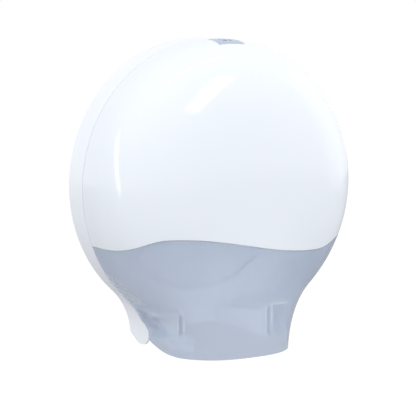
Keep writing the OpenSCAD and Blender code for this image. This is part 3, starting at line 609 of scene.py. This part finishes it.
# %% Shader helpers
class Number:
    """A number that varies over the surface, held in a node's output socket."""

    def __init__(self, finish, socket):
        self.finish = finish
        self.socket = socket

    def math(self, operation, first, second):
        """A Math node on two values."""
        return self.finish.node("Math", {"operation": operation}, {0: first, 1: second})

    def __add__(self, other):
        return self.math("ADD", self, other)

    def __radd__(self, other):
        return self.math("ADD", other, self)

    def __rsub__(self, other):
        return self.math("SUBTRACT", other, self)

    def __mul__(self, other):
        return self.math("MULTIPLY", self, other)

    def __rmul__(self, other):
        return self.math("MULTIPLY", other, self)


class Finish:
    """A material under construction: its node tree and its main shader."""

    def __init__(self, name):
        self.material = bpy.data.materials.new(name)
        self.material.use_nodes = True
        self.tree = self.material.node_tree
        self.shader = self.tree.nodes["Principled BSDF"]
        self.place = self.node("TexCoord", out="Object")

    def node(self, kind, settings=None, inputs=None, out=0):
        """Adds a node, sets its settings, then fills its sockets with values or links."""
        made = self.tree.nodes.new("ShaderNode" + kind)
        for key, value in (settings or {}).items():
            if key == "stops":
                ramp = made.color_ramp.elements
                while len(ramp) < len(value):
                    ramp.new(0.5)
                for element, (position, colour) in zip(ramp, value):
                    element.position, element.color = position, colour
            else:
                setattr(made, key, value)
        for key, value in (inputs or {}).items():
            self.fill(made.inputs[key], value)
        return Number(self, made.outputs[out])

    def fill(self, socket, value):
        """Links a Number to a socket, or sets the socket to a plain value."""
        if isinstance(value, Number):
            self.tree.links.new(value.socket, socket)
        else:
            socket.default_value = value

    def noise(self, scale, detail=2.0, rough=0.5, place=None):
        """Soft noise from 0 to 1, with about scale lumps to the metre."""
        inputs = {"Vector": place or self.place, "Scale": scale, "Detail": detail, "Roughness": rough}
        return self.node("TexNoise", inputs=inputs)

    def stretched(self, x, y, z):
        """Object coordinates stretched along the axes, for grain that has a direction."""
        return self.node("Mapping", inputs={"Vector": self.place, "Scale": (x, y, z)})

    def colours(self, amount, first, second):
        """A colour between two, by an amount from 0 to 1."""
        stops = [(0.0, (*first, 1.0)), (1.0, (*second, 1.0))]
        return self.node("ValToRGB", {"stops": stops}, {0: amount})

    def bump(self, height, distance, strength=1.0):
        """Fine relief: height from 0 to 1, distance in metres."""
        inputs = {"Height": height, "Distance": distance, "Strength": strength}
        return self.node("Bump", inputs=inputs)

    def set(self, **values):
        """Fills sockets of the main shader: Base_Color stands for the socket Base Color."""
        for key, value in values.items():
            self.fill(self.shader.inputs[key.replace("_", " ")], value)
        return self.material


def linear(*rgb):
    """A colour read off a screen, from 0 to 255, as the linear values that a shader takes."""
    share = np.array(rgb) / 255
    return tuple(np.where(share <= 0.04045, share / 12.92, ((share + 0.055) / 1.055) ** 2.4))


# %% [markdown]
# ## Moulded plastic
# A glossy moulding is never quite even: the melt leaves broad clouds in the colour, the tool's polish leaves
# a fine orange peel, and hands and cloths leave faint scuffs that dull the gloss. The three are separate
# noises, from as broad as a hand down to a few millimetres.

# %% Plastic finishes
def moulded(name, light, dark, gloss, peel=0.02, ior=1.49):
    """Opaque moulded plastic: cloudy colour, orange peel and scuffs."""
    finish = Finish(name)
    clouds = finish.noise(7, 3)
    scuffs = finish.noise(260, 4, 0.65, finish.stretched(1, 1, 0.25))
    peel_height = finish.noise(420, 1)
    return finish.set(
        Base_Color=finish.colours(clouds, dark, light),
        Roughness=gloss + 0.05 * clouds + 0.06 * scuffs,
        IOR=ior,
        Normal=finish.bump(peel_height, peel * MM))


shell_white = moulded("shell_white", linear(240, 245, 253), linear(236, 242, 251), 0.05)
tray_white = moulded("tray_white", linear(244, 248, 255), linear(239, 244, 253), 0.20)
guide_grey = moulded("guide_grey", linear(244, 247, 252), linear(236, 241, 248), 0.28)
hub_blue_grey = moulded("hub_blue_grey", linear(150, 162, 184), linear(136, 148, 170), 0.32)

# %% [markdown]
# The window is tinted rather than painted. Real glass-like transmission would be slow and grainy here, so
# Alpha makes it partly see-through: both faces of its wall let some of the view through, and the two together
# give the smoky look. The tint has broad clouds, a little streaked downwards in the way that the melt ran.
# Light going in is held back far less than the view: Light Path tells shadow and diffuse rays, which carry
# that light, and LET_IN is the share of the tint that they are spared. Otherwise little light would get in.

# %% Smoked window finish
smoked = Finish("smoked_window")
flow = smoked.noise(9, 3, 0.5, smoked.stretched(1.6, 1, 0.5))
LET_IN = 0.85
shadow_ray = smoked.node("LightPath", out="Is Shadow Ray")
diffuse_ray = smoked.node("LightPath", out="Is Diffuse Ray")
light_ray = shadow_ray.math("MAXIMUM", shadow_ray, diffuse_ray)
smoked_window = smoked.set(
    Base_Color=smoked.colours(flow, linear(188, 202, 225), linear(195, 209, 232)),
    Roughness=0.10 + 0.06 * smoked.noise(300, 3),
    IOR=1.58,
    Alpha=(0.44 + 0.03 * flow) * (1 - LET_IN * light_ray),
    Normal=smoked.bump(smoked.noise(300, 1), 0.004 * MM))

# %% [markdown]
# ## Metal and rubber
# The screws, pins and lock parts are zinc plated: a bright grey with a faint mottle. The lock plate and the
# tear strips are brushed, which shows as fine lines in one direction. The brake washer is matt rubber.

# %% Metal and rubber finishes
def plated(name, light, dark, gloss):
    """Plated metal: a mottle of two greys and of roughness."""
    finish = Finish(name)
    mottle = finish.noise(900, 3, 0.6)
    return finish.set(
        Base_Color=finish.colours(mottle, dark, light), Metallic=1.0,
        Roughness=gloss + 0.14 * mottle,
        Normal=finish.bump(finish.noise(2500, 2), 0.01 * MM))


def brushed(name, light, dark, gloss, along, metal=1.0):
    """Brushed metal: noise drawn out along one axis, in colour, roughness and relief."""
    finish = Finish(name)
    lines = finish.noise(1800, 3, 0.6, finish.stretched(*along))
    return finish.set(
        Base_Color=finish.colours(lines, dark, light), Metallic=metal,
        Roughness=gloss + 0.15 * lines,
        Normal=finish.bump(lines, 0.01 * MM))


zinc = plated("zinc", linear(214, 218, 224), linear(186, 191, 200), 0.24)
strip_steel = brushed("strip_steel", linear(240, 244, 250), linear(222, 228, 238), 0.45, (1, 0.04, 1), 0.3)
lock_satin = brushed("lock_satin", linear(200, 211, 230), linear(184, 196, 217), 0.30, (0.04, 1, 1))
rubber = Finish("brake_rubber")
grain = rubber.noise(1200, 4, 0.7)
brake_rubber = rubber.set(
    Base_Color=rubber.colours(grain, linear(58, 60, 64), linear(76, 78, 82)),
    Roughness=0.72 + 0.15 * grain,
    Normal=rubber.bump(grain, 0.05 * MM))

# %% [markdown]
# ## Who wears what
# The new pieces get their finish directly. The solids that are shown as they are get theirs by name, and any
# that isn't in the list is a zinc-plated screw, pin, clip or lock part.

# %% Assign the finishes
def wear(piece, material):
    """Gives a piece one finish in place of any other."""
    piece.data.materials.clear()
    piece.data.materials.append(material)


wear(shell, shell_white)
wear(window, smoked_window)
for piece in cover_fittings:
    wear(piece, shell_white if piece.name in ("shell_posts", "lock_seat") else smoked_window)
wear(tray, tray_white)
wear(plate, lock_satin)
NODE_FINISH = {
    "paper_guide_left": guide_grey, "paper_guide_right": guide_grey, "roll_hub": hub_blue_grey,
    "hub_cap": hub_blue_grey, "spindle": tray_white, "brake_washer": brake_rubber,
    "tear_strip_left": strip_steel, "tear_strip_right": strip_steel,
    "lock_barrel": lock_satin, "lock_housing": zinc}
for name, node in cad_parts.items():
    for material_slot in node.material_slots:
        material_slot.material = NODE_FINISH.get(name, zinc)
print("solids with a finish of their own:", len(NODE_FINISH))

# %% [markdown]
# ## The camera
# The photograph was taken from the left and a little above. The direction, the distance and the scale in
# pixels were fitted to the outline, and the height of the camera was then chosen between the place that
# suits the wave and the higher one that suits the lock. Blender asks for a lens, which follows from the
# scale, and the camera is turned a little so that the origin lands on its own pixel.

# %% Make the camera
IMAGE_SIDE = 416
SENSOR = 36.0
CAMERA_AZIMUTH = math.radians(30.6)
CAMERA_ELEVATION = math.radians(6.2)
CAMERA_DISTANCE = 2.0
PIXELS_PER_RADIUS = 141.1
ORIGIN_PIXEL = (195.95, 179.2)

forward = Vector((math.sin(CAMERA_AZIMUTH) * math.cos(CAMERA_ELEVATION),
                  math.cos(CAMERA_AZIMUTH) * math.cos(CAMERA_ELEVATION), -math.sin(CAMERA_ELEVATION)))
right = Vector((math.cos(CAMERA_AZIMUTH), -math.sin(CAMERA_AZIMUTH), 0))
up = right.cross(forward)
focal_pixels = PIXELS_PER_RADIUS * CAMERA_DISTANCE / ROUND_R
aim = (forward * focal_pixels + right * (IMAGE_SIDE / 2 - ORIGIN_PIXEL[0])
       - up * (IMAGE_SIDE / 2 - ORIGIN_PIXEL[1])).normalized()
camera_data = bpy.data.cameras.new("camera")
camera_data.sensor_width = SENSOR
camera_data.lens = SENSOR * focal_pixels / IMAGE_SIDE
camera = bpy.data.objects.new("camera", camera_data)
bpy.context.scene.collection.objects.link(camera)
camera.location = -forward * CAMERA_DISTANCE
level = aim.cross(Vector((0, 0, 1))).normalized()
turned_to = Matrix((level, level.cross(aim), -aim)).transposed().to_4x4()
camera.matrix_world = Matrix.Translation(camera.location) @ turned_to
bpy.context.scene.camera = camera
print(f"lens {camera_data.lens:.1f} mm")

# %% [markdown]
# ## Light and stage
# The room is a plain white studio, darker overhead, so that the crown isn't brighter than the front. One even
# white would be simpler, but then every side would look the same. Camera, mirror and see-through rays meet
# pure white, so the background is white without any more light on the object.

# %% The world
WORLD_LIGHT = 1.34
ZENITH_LOSS = 0.72
world = bpy.data.worlds.new("studio")
bpy.context.scene.world = world
world.use_nodes = True
sky = world.node_tree
sky.nodes.clear()


def sky_node(kind, inputs, operation=None):
    """Adds a node to the world and fills its sockets; gives back its first output."""
    made = sky.nodes.new("ShaderNode" + kind)
    if operation:
        made.operation = operation
    for key, value in inputs.items():
        if isinstance(value, bpy.types.NodeSocket):
            sky.links.new(value, made.inputs[key])
        else:
            made.inputs[key].default_value = value
    return made.outputs[0]


rays = sky.nodes.new("ShaderNodeLightPath").outputs
height = sky.nodes.new("ShaderNodeSeparateXYZ")
sky.links.new(sky.nodes.new("ShaderNodeTexCoord").outputs["Generated"], height.inputs[0])
upward = sky_node("Math", {0: height.outputs["Z"], 1: 0.0}, "MAXIMUM")
light = sky_node("Math", {0: upward, 1: -ZENITH_LOSS, 2: WORLD_LIGHT}, "MULTIPLY_ADD")
mirror_or_clear = sky_node("Math", {0: rays["Is Glossy Ray"], 1: rays["Is Transmission Ray"]}, "MAXIMUM")
seen = sky_node("Math", {0: rays["Is Camera Ray"], 1: mirror_or_clear}, "MAXIMUM")
to_white = sky_node("Math", {0: 1.0, 1: light}, "SUBTRACT")
strength = sky_node("Math", {0: seen, 1: to_white, 2: light}, "MULTIPLY_ADD")
background = sky_node("Background", {"Color": (1, 1, 1, 1), "Strength": strength})
sky.links.new(background, sky.nodes.new("ShaderNodeOutputWorld").inputs["Surface"])


def direction(azimuth, elevation):
    """A unit direction: azimuth in degrees from straight ahead of the object to its right, then elevation."""
    a, e = math.radians(azimuth), math.radians(elevation)
    return Vector((math.sin(a) * math.cos(e), -math.cos(a) * math.cos(e), math.sin(e)))


# %% [markdown]
# A gloss shows its lamps as reflections, so each lamp is placed by the direction that its highlight asks for:
# a key high in front for the soft spot on the rounding, a long narrow strip overhead for the thin line along
# the edge, a panel on the left for the upright band, and a weak wide fill on the right.

# %% Lamps
LAMP_DISTANCE = 2.5


def soft_box(name, start, end, width, power):
    """A rectangular lamp whose middle line runs from one direction to another; it faces the object."""
    start, end = LAMP_DISTANCE * direction(*start), LAMP_DISTANCE * direction(*end)
    lamp = bpy.data.lights.new(name, "AREA")
    lamp.shape = "RECTANGLE"
    lamp.size, lamp.size_y, lamp.energy = (end - start).length, width, power
    made = bpy.data.objects.new(name, lamp)
    bpy.context.scene.collection.objects.link(made)
    along = (end - start).normalized()
    back = start + end
    back = (back - along * back.dot(along)).normalized()
    made.matrix_world = (Matrix.Translation((start + end) / 2)
                         @ Matrix((along, back.cross(along), back)).transposed().to_4x4())
    return made


soft_box("key", (8, 22), (26, 38), 0.40, 8)
soft_box("ceiling_strip", (-45, 56), (60, 62), 0.05, 4)
soft_box("side_panel", (-62, -6), (-100, 30), 0.30, 7)
soft_box("right_fill", (78, -8), (78, 34), 1.3, 4)

# %% [markdown]
# The floor is a plain sheet well below the object, as the dispenser hangs on a wall. It glows only for a
# camera ray that has passed through nothing, which keeps it as white as the background. Through the smoked
# window and for every other ray it is a pale floor that takes shadows.

# %% Floor
FLOOR_Z = -0.55
FLOOR_HALF = 6.0
floor_mesh = bpy.data.meshes.new("floor")
corners = [(-1, -1), (1, -1), (1, 1), (-1, 1)]
floor_mesh.from_pydata([(FLOOR_HALF * x, FLOOR_HALF * y, FLOOR_Z) for x, y in corners], [], [(0, 1, 2, 3)])
floor = bpy.data.objects.new("floor", floor_mesh)
bpy.context.scene.collection.objects.link(floor)
floor_finish = Finish("floor_pale")
seen_through = floor_finish.node("LightPath", out="Transparent Depth")
direct = 1 - seen_through.math("MINIMUM", seen_through, 1.0)
looked_at = floor_finish.node("LightPath", out="Is Camera Ray") * direct
FLOOR_PALE = 0.44
FLOOR_GLOW = 0.6
floor_finish.set(Base_Color=(FLOOR_PALE, FLOOR_PALE, FLOOR_PALE, 1), Roughness=0.9,
                 Emission_Color=(1, 1, 1, 1), Emission_Strength=FLOOR_GLOW * looked_at)
wear(floor, floor_finish.material)

bpy.context.scene.view_settings.view_transform = "Standard"
